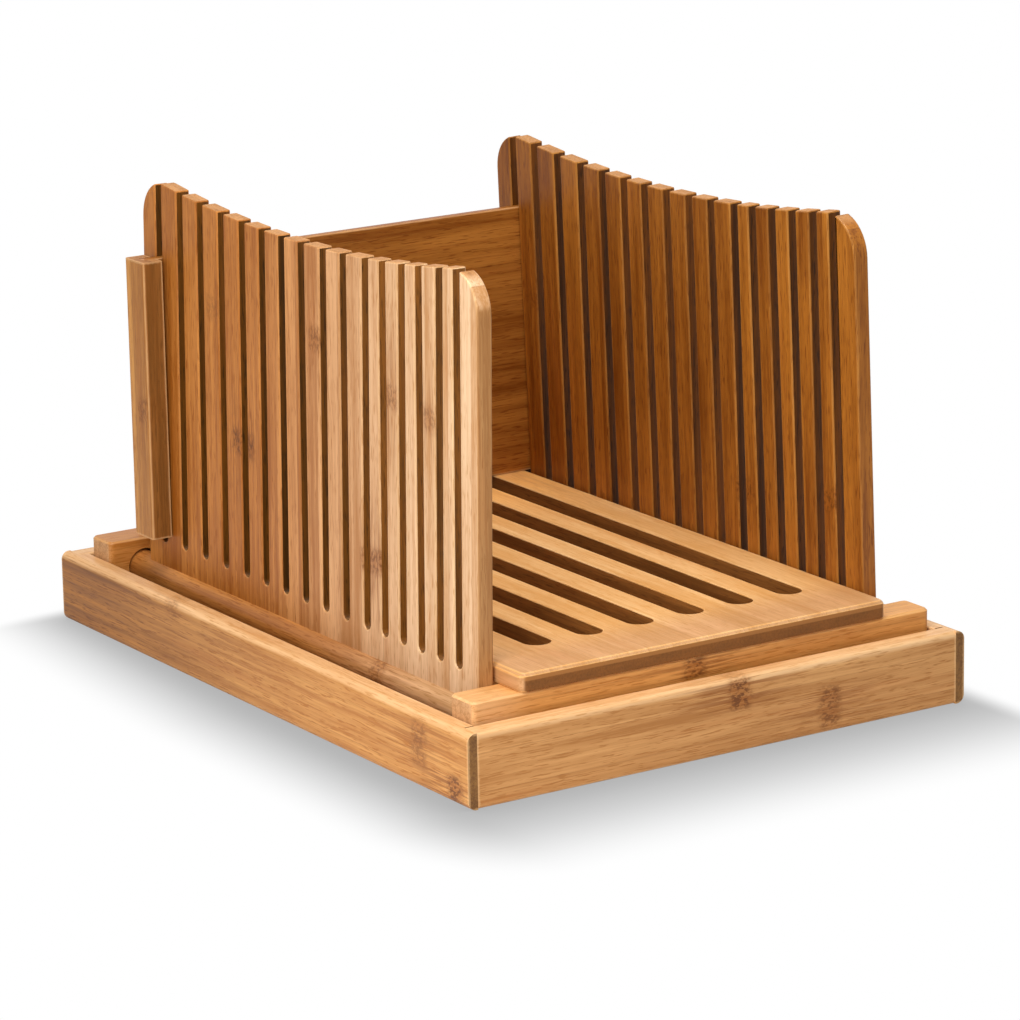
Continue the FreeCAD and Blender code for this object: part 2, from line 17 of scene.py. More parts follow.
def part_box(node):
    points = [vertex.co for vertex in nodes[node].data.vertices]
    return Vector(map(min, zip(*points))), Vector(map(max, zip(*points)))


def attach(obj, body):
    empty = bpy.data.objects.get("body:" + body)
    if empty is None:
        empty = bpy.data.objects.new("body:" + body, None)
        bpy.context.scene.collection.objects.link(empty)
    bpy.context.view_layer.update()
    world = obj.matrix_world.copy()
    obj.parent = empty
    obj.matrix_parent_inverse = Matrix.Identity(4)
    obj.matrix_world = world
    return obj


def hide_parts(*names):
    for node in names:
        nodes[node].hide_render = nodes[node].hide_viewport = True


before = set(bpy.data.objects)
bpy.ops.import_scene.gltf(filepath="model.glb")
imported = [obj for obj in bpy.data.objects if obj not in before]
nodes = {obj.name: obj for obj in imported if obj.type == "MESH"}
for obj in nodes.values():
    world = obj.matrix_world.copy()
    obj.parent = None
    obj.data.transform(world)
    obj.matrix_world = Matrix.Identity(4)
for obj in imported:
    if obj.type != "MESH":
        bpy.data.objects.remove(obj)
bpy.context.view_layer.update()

# %% [markdown]
# ## Camera
#
# The object is seen from well back through a long lens, which keeps upright boards nearly
# parallel. A short lens close by would splay them. The camera could be aimed at a point, but
# it is placed by three directions, its right, its down and its line of sight, because they
# also hold the slight roll of a tripod that was levelled by hand.

# %% The camera and its three directions
camera_place = Vector((-1.16725, -1.82038, 0.64547))
camera_right = Vector((0.83745, -0.54624, -0.01739))
camera_down = Vector((-0.15384, -0.20507, -0.96658))
camera_sight = Vector((0.52442, 0.81214, -0.25577))
film_width, focal_length = 36, 167.18
farthest_seen = 50

camera = bpy.data.objects.new("camera", bpy.data.cameras.new("camera"))
bpy.context.scene.collection.objects.link(camera)
camera.data.sensor_width = film_width
camera.data.lens = focal_length
camera.data.clip_end = farthest_seen
turn = Matrix((camera_right, -camera_down, -camera_sight)).transposed()
camera.matrix_world = Matrix.Translation(camera_place) @ turn.to_4x4()
bpy.context.scene.camera = camera
print("camera distance in metres:", round(camera_place.length, 2))

# %% [markdown]
# ## A short way to write nodes
#
# Shader and geometry nodes both do sums, and sums are easier to read as sums than as a
# list of nodes and links. The first class below wraps one output socket, so that
# `1 - mask * 0.5` adds the Math nodes by itself. Every other node comes from one method of
# the second class, which takes the node's type, its settings and its inputs.


# %% Sums on sockets
class Value:
    """One output socket that can be added, multiplied and compared."""

    def __init__(self, maker, socket):
        self.maker = maker
        self.socket = socket

    def math(self, operation, other=0.0, swap=False):
        pair = [other, self] if swap else [self, other]
        return self.maker.node("ShaderNodeMath", {"operation": operation}, pair)

    def __add__(self, other):
        return self.math("ADD", other)

    def __mul__(self, other):
        return self.math("MULTIPLY", other)

    def __sub__(self, other):
        return self.math("SUBTRACT", other)

    def __rsub__(self, other):
        return self.math("SUBTRACT", other, swap=True)

    def __truediv__(self, other):
        return self.math("DIVIDE", other)

    def __gt__(self, other):
        return self.math("GREATER_THAN", other)

    __radd__ = __add__
    __rmul__ = __mul__

    def size(self):
        return self.math("ABSOLUTE")

    def least(self, other):
        return self.math("MINIMUM", other)

    def most(self, other):
        return self.math("MAXIMUM", other)

    def whole(self):
        return self.math("FLOOR")

    def part(self):
        return self.math("FRACT")

    def rise(self, start, end):
        """Smoothly 0 to 1 from start to end, or 1 to 0 when end lies below start."""
        low, high = sorted((start, end))
        first, last = (0.0, 1.0) if end > start else (1.0, 0.0)
        return self.maker.node("ShaderNodeMapRange", {"interpolation_type": "SMOOTHSTEP"}, {
            "Value": self, "From Min": low, "From Max": high, "To Min": first, "To Max": last})


print("what a value can do by name:", [word for word in vars(Value) if word[0] != "_"])


# %% One method for every other node
class Maker:
    """Adds nodes to one tree."""

    def __init__(self, tree):
        self.tree = tree

    def node(self, kind, settings=None, inputs=None, output=0):
        """Settings go first, because some of them change which sockets there are."""
        made = self.tree.nodes.new(kind)
        for name, setting in (settings or {}).items():
            setattr(made, name, setting)
        pairs = enumerate(inputs) if isinstance(inputs, list) else (inputs or {}).items()
        for name, given in pairs:
            if isinstance(given, Value):
                self.tree.links.new(given.socket, made.inputs[name])
            elif given is not None:
                made.inputs[name].default_value = given
        return Value(self, made.outputs[output]) if made.outputs else made

    def vector(self, x, y, z):
        return self.node("ShaderNodeCombineXYZ", None, [x, y, z])

    def split(self, vector):
        return {letter: self.node("ShaderNodeSeparateXYZ", None, [vector], letter)
                for letter in "XYZ"}

    def mix(self, amount, first, second):
        """Socket numbers: 0 is the amount, 6 and 7 are the two colours, output 2 the mix."""
        return self.node("ShaderNodeMix", {"data_type": "RGBA"},
                         {0: amount, 6: first, 7: second}, 2)

    def noise(self, place, detail=2.0, roughness=0.5):
        return self.node("ShaderNodeTexNoise", None, {
            "Vector": place, "Scale": 1.0, "Detail": detail, "Roughness": roughness})

    def chance(self, number):
        """A random value between 0 and 1 that stays the same for the same number."""
        return self.node("ShaderNodeTexWhiteNoise", {"noise_dimensions": "1D"}, {"W": number})


def new_material(name):
    material = bpy.data.materials.new(name)
    material.use_nodes = True
    material.node_tree.nodes.clear()
    return material, Maker(material.node_tree)


print("what a maker can do by name:", [word for word in vars(Maker) if word[0] != "_"])

# %% [markdown]
# ## Floor and light
#
# The object stands on a white sweep. Its shadow must stay, but the white must not come
# from more light, which would bleach the wood. So the floor gives out a white of its own, to
# the camera only, and the shadow is painted into it: less white round the object, as a
# painted shade that is wide towards the front and the left, and a painted dark line under
# the tray, which ambient occlusion finds. The lamps light the wood: a low one from the left,
# which draws out the slots, and a wide one from above.

# %% A white floor with a painted shadow
floor_reach = 8.0
floor_grey = (0.8, 0.8, 0.8, 1.0)
black, white = (0.0, 0.0, 0.0, 1.0), (1.0, 1.0, 1.0, 1.0)
tray_half_width, tray_half_depth = 0.135, 0.185
painted_shadow_reach, painted_shadow_depth = 0.097, 0.475
left_fall, front_fall, right_fall, rear_fall = 1.55, 1.0, 5.0, 5.0
left_narrowing = 0.1
contact_reach, painted_contact_depth = 0.03, 0.12
contact_closed, contact_open = 0.4, 0.95


def make_floor():
    """A large plain square that looks white, with a shadow painted into it close to the tray."""
    material, make = new_material("white_sweep")
    seen = make.node("ShaderNodeLightPath", output="Is Camera Ray")
    axis = make.split(make.node("ShaderNodeTexCoord", output="Object"))
    # A painted shade drawn from the tray's outline: wide towards the front and the left, next to
    # none on the far sides.
    left = ((axis["X"] + tray_half_width) * -left_fall
            + axis["Y"].most(0.0) * left_narrowing)
    right = (axis["X"] - tray_half_width) * right_fall
    front = (axis["Y"] + tray_half_depth) * -front_fall
    rear = (axis["Y"] - tray_half_depth) * rear_fall
    sideways, endways = left.most(right).most(0.0), front.most(rear).most(0.0)
    away = (sideways * sideways + endways * endways).math("SQRT")
    painted_shadow = 1.0 - away.rise(painted_shadow_reach, 0.0) * painted_shadow_depth
    # A painted dark line where the tray stands on the floor, found by ambient occlusion.
    painted_contact_shade = make.node("ShaderNodeAmbientOcclusion", {"samples": 8},
                        {"Distance": contact_reach}, "AO").rise(contact_closed, contact_open)
    shade = painted_shadow * ((1.0 - painted_contact_depth) + painted_contact_shade * painted_contact_depth)
    glow = make.node("ShaderNodeEmission", None, {
        "Color": make.mix(shade, black, white), "Strength": 1.0})
    plain = make.node("ShaderNodeBsdfDiffuse", None, {"Color": floor_grey})
    shown = make.node("ShaderNodeMixShader", None, [seen, plain, glow])
    make.node("ShaderNodeOutputMaterial", None, {"Surface": shown})
    corners = [(x * floor_reach, y * floor_reach, 0)
               for x, y in ((-1, -1), (1, -1), (1, 1), (-1, 1))]
    mesh = bpy.data.meshes.new("floor")
    mesh.from_pydata(corners, [], [(0, 1, 2, 3)])
    mesh.materials.append(material)
    floor = bpy.data.objects.new("floor", mesh)
    bpy.context.scene.collection.objects.link(floor)


make_floor()
print("side of the floor in metres:", 2 * floor_reach)

# %% The soft light of the room, and its lamps
room_light = 0.32
mirrored_room = 0.9
lamp_aim = Vector((0, 0, 0.1))


def make_room():
    """A dim white room that the camera, and most of what mirrors it, sees as white."""
    world = bpy.data.worlds.new("room")
    bpy.context.scene.world = world
    world.use_nodes = True
    world.node_tree.nodes.clear()
    make = Maker(world.node_tree)
    seen, mirrored, through = (make.node("ShaderNodeLightPath", output=f"Is {kind} Ray")
                               for kind in ("Camera", "Glossy", "Transmission"))
    bright = seen.most(mirrored * mirrored_room).most(through)
    strength = room_light + bright * (1.0 - room_light)
    sky = make.node("ShaderNodeBackground", None, {"Color": white, "Strength": strength})
    make.node("ShaderNodeOutputWorld", None, {"Surface": sky})


def add_lamp(name, place, size, power):
    """A square soft box that faces the middle of the object."""
    lamp = bpy.data.lights.new(name, "AREA")
    lamp.size = size
    lamp.energy = power
    box = bpy.data.objects.new(name, lamp)
    bpy.context.scene.collection.objects.link(box)
    aim = lamp_aim - Vector(place)
    box.matrix_world = (Matrix.Translation(place)
                        @ aim.to_track_quat("-Z", "Y").to_matrix().to_4x4())
    print(name, "distance in metres:", round(aim.length, 2))


make_room()
add_lamp("key_lamp", (-0.56, -0.44, 0.34), 0.35, 2.8)
add_lamp("top_lamp", (-0.1, -0.2, 1.5), 0.9, 19)
bpy.context.scene.view_settings.view_transform = "Standard"

# %% [markdown]
# ## Bamboo
#
# Bamboo boards are glued from strips. Each strip has its own shade, runs of fine fibres
# along its length, and every twenty centimetres or so a knuckle, where the stem had a
# joint: a short band of dark dashes. A board cut across shows brown end grain instead, and
# handling leaves the sharp edges paler; that paler tone is also a painted highlight. Colours
# could be painted on each board by hand, but wood that is worked out from Object coordinates
# has fibres of the right size everywhere and runs on unbroken round every corner. So a board
# only says which way its grain runs, its two tones and where its knuckles are.


# %% Colours as on a paint chart
def tone(code):
    """A colour written as on a paint chart, turned into the light values Blender mixes."""
    shades = [int(code[place:place + 2], 16) / 255 for place in (1, 3, 5)]
    linear = [s / 12.92 if s <= 0.04045 else ((s + 0.055) / 1.055) ** 2.4 for s in shades]
    return (*linear, 1.0)


print("a mid honey tone is", [round(part, 3) for part in tone("#C48040")[:3]])

# %% A point's place in a board, and the fibres there
mm = 0.001
seam_half_width = 0.00035
flat_on_grain, square_to_grain = 0.75, 0.95


class Grain:
    """Where a point lies in its board: along the strips, over them and through them.

    Each strip has a number, and from that its luck and the shift of its pattern.
    """

    def __init__(self, make, grain, across, strip, seed, wave):
        self.make, self.seed = make, seed
        self.axis = make.split(make.node("ShaderNodeTexCoord", output="Object"))
        facing = make.split(make.node("ShaderNodeTexCoord", output="Normal"))
        through = ({"X", "Y", "Z"} - {grain, across}).pop()
        self.run, self.over, self.deep = (self.axis[line] for line in (grain, across, through))
        self.cut = facing[grain].size().rise(flat_on_grain, square_to_grain)

        place_in_strips = (self.over + 0.5) / strip
        self.number = place_in_strips.whole() + seed
        self.luck = make.chance(self.number * 1.37)
        self.shift = self.luck * 3.0 + seed
        from_middle = (place_in_strips.part() - 0.5).size()
        self.seam = from_middle.rise(0.5 - seam_half_width / strip, 0.5)

        # Fibres wander a little on their way along the board.
        bend = make.noise(make.vector(self.run * 14, self.over * 9, seed), 1.0)
        self.side = self.over + (bend - 0.5) * wave

    def fibres(self, along, beside, detail=2.0, roughness=0.5):
        """Noise drawn out along the grain: so many to a metre along it, so many beside it."""
        place = self.make.vector(self.run * along + self.shift, self.side * beside,
                                 self.deep * beside)
        return self.make.noise(place, detail, roughness)


print("a seam between two strips is", 2 * seam_half_width / mm, "mm wide")

# %% [markdown]
# ### Knuckles
#
# A knuckle is a band of short dark dashes over part of a strip, with dark threads that run
# on from it along the grain. On boards that are seen close by, each one has its place, since
# a few well-placed knuckles say bamboo more than many. Other boards draw theirs by chance,
# strip by strip, from a number that never changes.

# %% Knuckles in their places, or by chance
knuckle_space = 0.19
knuckle_core = 0.55
chance_strength = 0.8
band_reach, band_core = 0.0085, 0.0025
chance_band_reach, chance_band_core = 0.0070, 0.0015
tail_reach, tail_core = 0.045, 0.004
band_wobble = 0.006
thread_tone, thread_share = "#84460F", 0.7
band_tone, band_share = "#9C5A1C", 0.55
dash_tone, dash_share = "#64340A", 0.85


def with_knuckles(wood, grain, marks, chance):
    """Adds the bands, their dashes and their threads to a wood."""
    make, run, over, deep, seed = grain.make, grain.run, grain.over, grain.deep, grain.seed
    waver = make.noise(make.vector(over * 160, deep * 160, grain.shift), 2.0)
    wobble = (waver - 0.5) * band_wobble
    dashes = make.noise(make.vector(run * 420, over * 760, deep * 760 + seed), 2.0, 0.6)
    thread = make.noise(make.vector(run * 30, grain.side * 900, deep * 900 + seed), 2.0)
    band, tail = 0.0, 0.0
    for mark_run, mark_over, reach, strength in marks:
        along = run - mark_run * mm
        beside = (over - mark_over * mm).size().rise(reach * mm, reach * knuckle_core * mm)
        beside = beside * strength
        band = (along + wobble).size().rise(band_reach, band_core) * beside + band
        tail = along.size().rise(tail_reach, tail_core) * beside + tail
    if chance:
        spread = make.chance(grain.number * 2.11 + 5.0) * 7.3
        chosen = make.chance(grain.number * 3.77 + 9.0) > (1.0 - chance)
        strength = chosen * chance_strength
        along = (((run + 0.5) / knuckle_space + spread).part() - 0.5) * knuckle_space
        band = (along + wobble).size().rise(chance_band_reach, chance_band_core) * strength + band
        tail = along.size().rise(tail_reach, tail_core) * strength + tail
    wood = make.mix(tail * thread.rise(0.46, 0.60) * thread_share, wood, tone(thread_tone))
    wood = make.mix(band * band_share, wood, tone(band_tone))
    return make.mix(band * dashes.rise(0.42, 0.60) * dash_share, wood, tone(dash_tone))


print("knuckles by chance lie", knuckle_space / mm, "mm apart")

# %% [markdown]
# ### End grain, and worn edges with a painted highlight
#
# Where a board is cut across, the fibres are seen end on, as brown bands full of specks.
# Only the faces that look along the grain get it, which the surface's own direction tells.
# A paler band along the top of a cut end is painted light, where light falls on it from
# above. Edges go pale where hands and cloths rub them, and the same paler tone is a painted
# highlight where light catches them. A bevel could carry its own material, but the distance
# to the board's faces finds the edges of any plain board without new geometry.

# %% End grain, and worn edges with a painted highlight
speck_share, patch_middle, patch_share = 0.45, 0.4, 1.6
# Blur and strength of the painted lit band along the top of a cut end.
lit_band_blur, lit_band_share = 0.3, 0.85
ragged_edge = 0.0011
full_wear = 0.25
worn_and_highlight_tone, worn_and_highlight_share = "#EFC088", 0.4


def with_end_grain(wood, grain, end, end_step):
    """Covers the faces cut across. end_step is a level in mm and the paler tone above it: painted
    light, where light falls on the end from above.
    """
    make, run, over, deep = grain.make, grain.run, grain.over, grain.deep
    specks = make.noise(make.vector(run * 300, over * 900, deep * 900), 2.0, 0.7)
    patches = make.noise(make.vector(run * 40, over * 50, deep * 260), 2.0)
    mottle = specks.rise(0.42, 0.62) * speck_share + (patches - patch_middle) * patch_share
    brown = make.mix(mottle.least(1.0).most(0.0), tone(end[0]), tone(end[1]))
    # A painted lit band: the end grain is paler above a level, where light falls on it from
    # above.
    if end_step:
        level, upper = end_step
        above = grain.axis["Z"].rise((level - lit_band_blur) * mm, (level + lit_band_blur) * mm)
        brown = make.mix(above * lit_band_share, brown, tone(upper))
    return make.mix(grain.cut, wood, brown)


def with_worn_and_highlit_edges(wood, grain, box, edge):
    """The second smallest distance to a board's faces is small only near its edges."""
    make, low, high = grain.make, *box
    gaps = [(high[i] - low[i]) / 2 - (grain.axis["XYZ"[i]] - (high[i] + low[i]) / 2).size()
            for i in range(3)]
    small = gaps[0].least(gaps[1])
    large = gaps[0].most(gaps[1])
    second = small.most(large.least(gaps[2]))
    crumble = make.noise(make.vector(grain.run * 60, grain.over * 500, grain.deep * 500), 2.0)
    ragged = (crumble - 0.5) * ragged_edge
    # Paler edges: worn by handling, and a painted highlight where light catches them.
    wear_and_highlight = (second + ragged).rise(edge, edge * full_wear)
    return make.mix(wear_and_highlight * worn_and_highlight_share, wood, tone(worn_and_highlight_tone))


print("an edge is ragged by", ragged_edge / 2 / mm, "mm to each side")

# %% [markdown]
# ### The whole wood
#
# Long fibres, fine ones, short dashes and soft clouds add up to one shade, which mixes the
# board's dark and light tones. One noise would do for wood seen from afar, but close by it
# is the different lengths of the fibres that tell bamboo from oak. A board that is darker or
# paler towards one side has a fade, which turns both of its tones along the way and so
# keeps the fibres clear. Most fades are painted light and shade, for light that falls off
# across a board or leaves one face in shade.

# %% One bamboo for every board
long_weight, cloud_weight, strip_weight, fine_weight, dash_weight = 2.8, 1.0, 0.45, 0.7, 0.85
red_tone, red_share = "#B5692C", 0.22
seam_tone, seam_share = "#7C4A1E", 0.25
bump_strength, bump_height = 0.30, 0.0004
roughness_middle, roughness_range, cut_roughness = 0.42, 0.25, 0.2
gloss_level, coat_share, coat_roughness = 0.24, 0.05, 0.35


def bamboo(name, grain, across, light, dark, strip=0.022, seed=0.0, marks=(), chance=0.0,
           end=("#8A6030", "#5E3A1C"), end_step=None, box=None, edge=0.0010, fades=(),
           streak=0.7, wave=0.0015):
    """A board's bamboo. grain and across name the axes along its strips and over them.

    Each mark is a knuckle: where it lies along and across the board in millimetres, how
    far it reaches to each side, and how strong it is. Boards that are never the near ones
    get knuckles by chance instead. Each fade is an axis, where it starts and is complete in
    millimetres, and the light and dark tones that it leads to; most fades are painted light
    or shade. end holds the two tones of the cut ends, and end_step a level and the paler tone
    above it, a painted lit band where light falls on the end from above. A board that gives
    its box gets worn edges, paler also as a painted highlight, and streak says how strongly
    its fibres show.
    """
    material, make = new_material(name)
    board = Grain(make, grain, across, strip, seed, wave)
    long_fibre = board.fibres(6, 260, 4.0, 0.65)
    fine_fibre = board.fibres(38, 1300)
    short_dash = board.fibres(120, 1700, 1.0)
    cloud = board.fibres(11, 30, 3.0)
    red_run = make.noise(make.vector(board.run * 5 - board.shift, board.side * 90,
                                     board.deep * 90), 3.0, 0.6)

    shade = (0.5 + (long_fibre - 0.5) * (long_weight * streak) + (cloud - 0.5) * cloud_weight
             + (board.luck - 0.5) * strip_weight + (fine_fibre - 0.5) * fine_weight
             - short_dash.rise(0.56, 0.70) * (dash_weight * streak))
    dark_side, light_side = tone(dark), tone(light)
    for line, start, finish, far_light, far_dark in fades:
        reached = board.axis[line].rise(start * mm, finish * mm)
        dark_side = make.mix(reached, dark_side, tone(far_dark))
        light_side = make.mix(reached, light_side, tone(far_light))
    wood = make.mix(shade.least(1.0).most(0.0), dark_side, light_side)
    wood = make.mix(red_run.rise(0.56, 0.72) * red_share, wood, tone(red_tone))
    wood = make.mix(board.seam * seam_share, wood, tone(seam_tone))
    if marks or chance:
        wood = with_knuckles(wood, board, marks, chance)
    wood = with_end_grain(wood, board, end, end_step)
    if box:
        wood = with_worn_and_highlit_edges(wood, board, box, edge)

    height = long_fibre * 0.5 + fine_fibre * 0.4 - short_dash.rise(0.56, 0.72) * 0.4
    bump = make.node("ShaderNodeBump", None, {
        "Strength": bump_strength, "Distance": bump_height, "Height": height})
    roughness = (roughness_middle + (long_fibre - 0.5) * roughness_range
                 + board.cut * cut_roughness)
    surface = make.node("ShaderNodeBsdfPrincipled", None, {
        "Base Color": wood, "Roughness": roughness, "Normal": bump,
        "Specular IOR Level": gloss_level, "Coat Weight": coat_share,
        "Coat Roughness": coat_roughness})
    make.node("ShaderNodeOutputMaterial", None, {"Surface": surface})
    return material


def finish_node(node, material):
    """Put one finish on a packed node, in place of its plain colour."""
    mesh = nodes[node].data
    mesh.materials.clear()
    mesh.materials.append(material)


print("packed pieces to finish:", len(nodes))

# %% [markdown]
# ## Tray
#
# Four boards round a thin floor. The side boards run the full depth and hide the ends of the
# others, so the front shows two brown strips of end grain beside a long front face. These
# boards could be built again here, but the packed solids have the right shape, down to the
# eased edges, so they stay and only get their wood. The rim carries a painted highlight,
# paler than the sides, where light catches its rounding, and the left side is painted
# darker towards the rear, where the light falls off.

# %% Tray boards
tray_left_marks = [(-174, 6, 9, 1.0), (-145, 21, 13, 0.55), (76, 31, 5, 0.35)]
tray_front_marks = [(8.5, 27, 9, 1.0), (57.8, 12, 12, 0.75)]
# Painted shade: the left side darkens towards the rear, where the light falls off.
tray_left_shade_fade = ("Y", -80, 185, "#BE7C34", "#7C4816")
# Painted highlight along the rim's rounding.
tray_rim_highlight = ("Z", 30.5, 33.5, "#F2C692", "#CE965C")
for name, grain, seed, light, dark, marks, chance, fades in (
        ("tray_left_side", "Y", 3.0, "#E6AC64", "#B4722E", tray_left_marks, 0.0,
         [tray_left_shade_fade, tray_rim_highlight]),
        ("tray_right_side", "Y", 8.0, "#DA9D54", "#AE6A26", (), 0.5, [tray_rim_highlight]),
        ("tray_front_end", "X", 14.0, "#DAA264", "#AC7238", tray_front_marks, 0.0,
         [tray_rim_highlight]),
        ("tray_rear_end", "X", 21.0, "#D0A05E", "#A87234", (), 0.5, [tray_rim_highlight])):
    finish_node(name, bamboo(name + "_bamboo", grain, "Z", light, dark, strip=0.0175,
                             seed=seed, box=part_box(name), marks=marks, chance=chance,
                             wave=0.002, edge=0.0013, fades=fades))
finish_node("tray_floor", bamboo("tray_floor_bamboo", "Y", "X", "#A8692E", "#7C451A",
                                 seed=31.0, chance=0.4))
tray_pieces = [name for name in nodes if name.startswith("tray_")]
print("tray pieces finished:", len(tray_pieces))

# %% [markdown]
# ## Frame
#
# The rails lie across the tray and carry the bread board on four hidden screws. The rods
# that the walls turn on sit in round sockets in the rails' inner faces. All of them keep
# their packed solids, and their grain runs along them, as it has to in anything so slender.
# The front rail is painted paler towards its left end and the rods towards the front: this
# is painted light, where the lamp from the front left reaches them most.

# %% Rails and rods
rail_end_tones = ("#D2A272", "#AA7746")
# Painted light towards the front rail's left end.
rail_painted_light_end = ("X", -88, -120, "#ECB67C", "#C88A4C")
for name, seed, marks, chance, fades in (
        ("front_rail", 41.0, [(-7, 39, 6, 0.9)], 0.0, [rail_painted_light_end]),
        ("back_rail", 47.0, (), 0.4, ())):
    finish_node(name, bamboo(name + "_bamboo", "X", "Z", "#E2A258", "#B87430", strip=0.018,
                             seed=seed, marks=marks, chance=chance, end=rail_end_tones,
                             box=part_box(name), edge=0.0014, fades=fades))
# Painted light on the rods towards the front.
rod_painted_light_end = ("Y", 0, -140, "#E6B888", "#B4824E")
for name, seed, marks, chance in (("left_hinge_rod", 53.0, [(-74, -111, 6, 0.6)], 0.0),
                                  ("right_hinge_rod", 59.0, (), 0.3)):
    finish_node(name, bamboo(name + "_bamboo", "Y", "X", "#D08C46", "#985820", strip=0.012,
                             seed=seed, marks=marks, chance=chance, fades=[rod_painted_light_end]))
print("rails and rods finished:", [name for name in nodes if name.endswith(("_rail", "_rod"))])

# %% [markdown]
# ### Screws
#
# Four steel screws come up through the rails into the bread board. They are the only metal,
# and seen only from below. One plain grey would look like plastic there, so fine rings round
# the shank turn both the tone and the shine, as a rolled thread does.


# %% Screws
def screw_steel():
    """Plain steel, a little duller where the thread was rolled."""
    material, make = new_material("screw_steel")
    axis = make.split(make.node("ShaderNodeTexCoord", output="Object"))
    rings = make.noise(make.vector(axis["X"] * 60, axis["Y"] * 60, axis["Z"] * 2400), 2.0)
    surface = make.node("ShaderNodeBsdfPrincipled", None, {
        "Base Color": make.mix(rings, tone("#8C8C8A"), tone("#B4B4B0")), "Metallic": 1.0,
        "Roughness": 0.28 + rings * 0.2})
    make.node("ShaderNodeOutputMaterial", None, {"Surface": surface})
    return material


finish_node("frame_screws", screw_steel())
print("triangles of the screws:", len(nodes["frame_screws"].data.polygons))

# %% [markdown]
# ## Back board
#
# One wide board whose grain lies across, held between two posts. It lifts straight out of
# the walls' rearmost slots. It stands in the shade of the walls, and that shade is painted
# into its tones, which are deeper; the same bamboo turned on its side does the rest. The
# outer face of a post is lit and its other faces are painted darker as shade, by a short
# fade that lies just under the outer face.

# %% Back board and posts
# Where a post's painted shade begins, just inside its lit outer face.
post_lit_face_from, post_shade_from = 119.6, 118.2
# The back board's deeper tones paint the shade of the walls.
finish_node("back_board", bamboo("back_board_bamboo", "X", "Z", "#C07E34", "#884A12",
                                 strip=0.022, seed=71.0, box=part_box("back_board")))
for name, seed, side, marks in (("left_post", 83.0, -1, [(116, 123, 6, 0.6)]),
                                ("right_post", 89.0, 1, ())):
    finish_node(name, bamboo(name + "_bamboo", "Z", "Y", "#D6964E", "#A06428", strip=0.018,
                             seed=seed, marks=marks, box=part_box(name), edge=0.0012,
                             end=("#B07A46", "#86562C"),
                             fades=[("X", post_lit_face_from * side, post_shade_from * side,
                                     "#A46A32", "#764A1E")]))
print("posts finished:", [name for name in nodes if name.endswith("_post")])

# %% [markdown]
# ## Slots by rule
#
# A comb of slots follows one short rule, so it is the natural thing to leave to Geometry
# Nodes: a line of points, one cutter on each, and a Boolean that takes all the cutters out
# of a blank. Slots that are modelled one by one would need new work for every change of a
# pitch. The cutters have a little random lean, because thin slats move as the wood dries and
# no two gaps stay quite alike. The slots are cut along the row's own X, and the whole row is
# then turned to face the way the board needs.

# %% The tree that cuts a row of slots
round_steps = 32


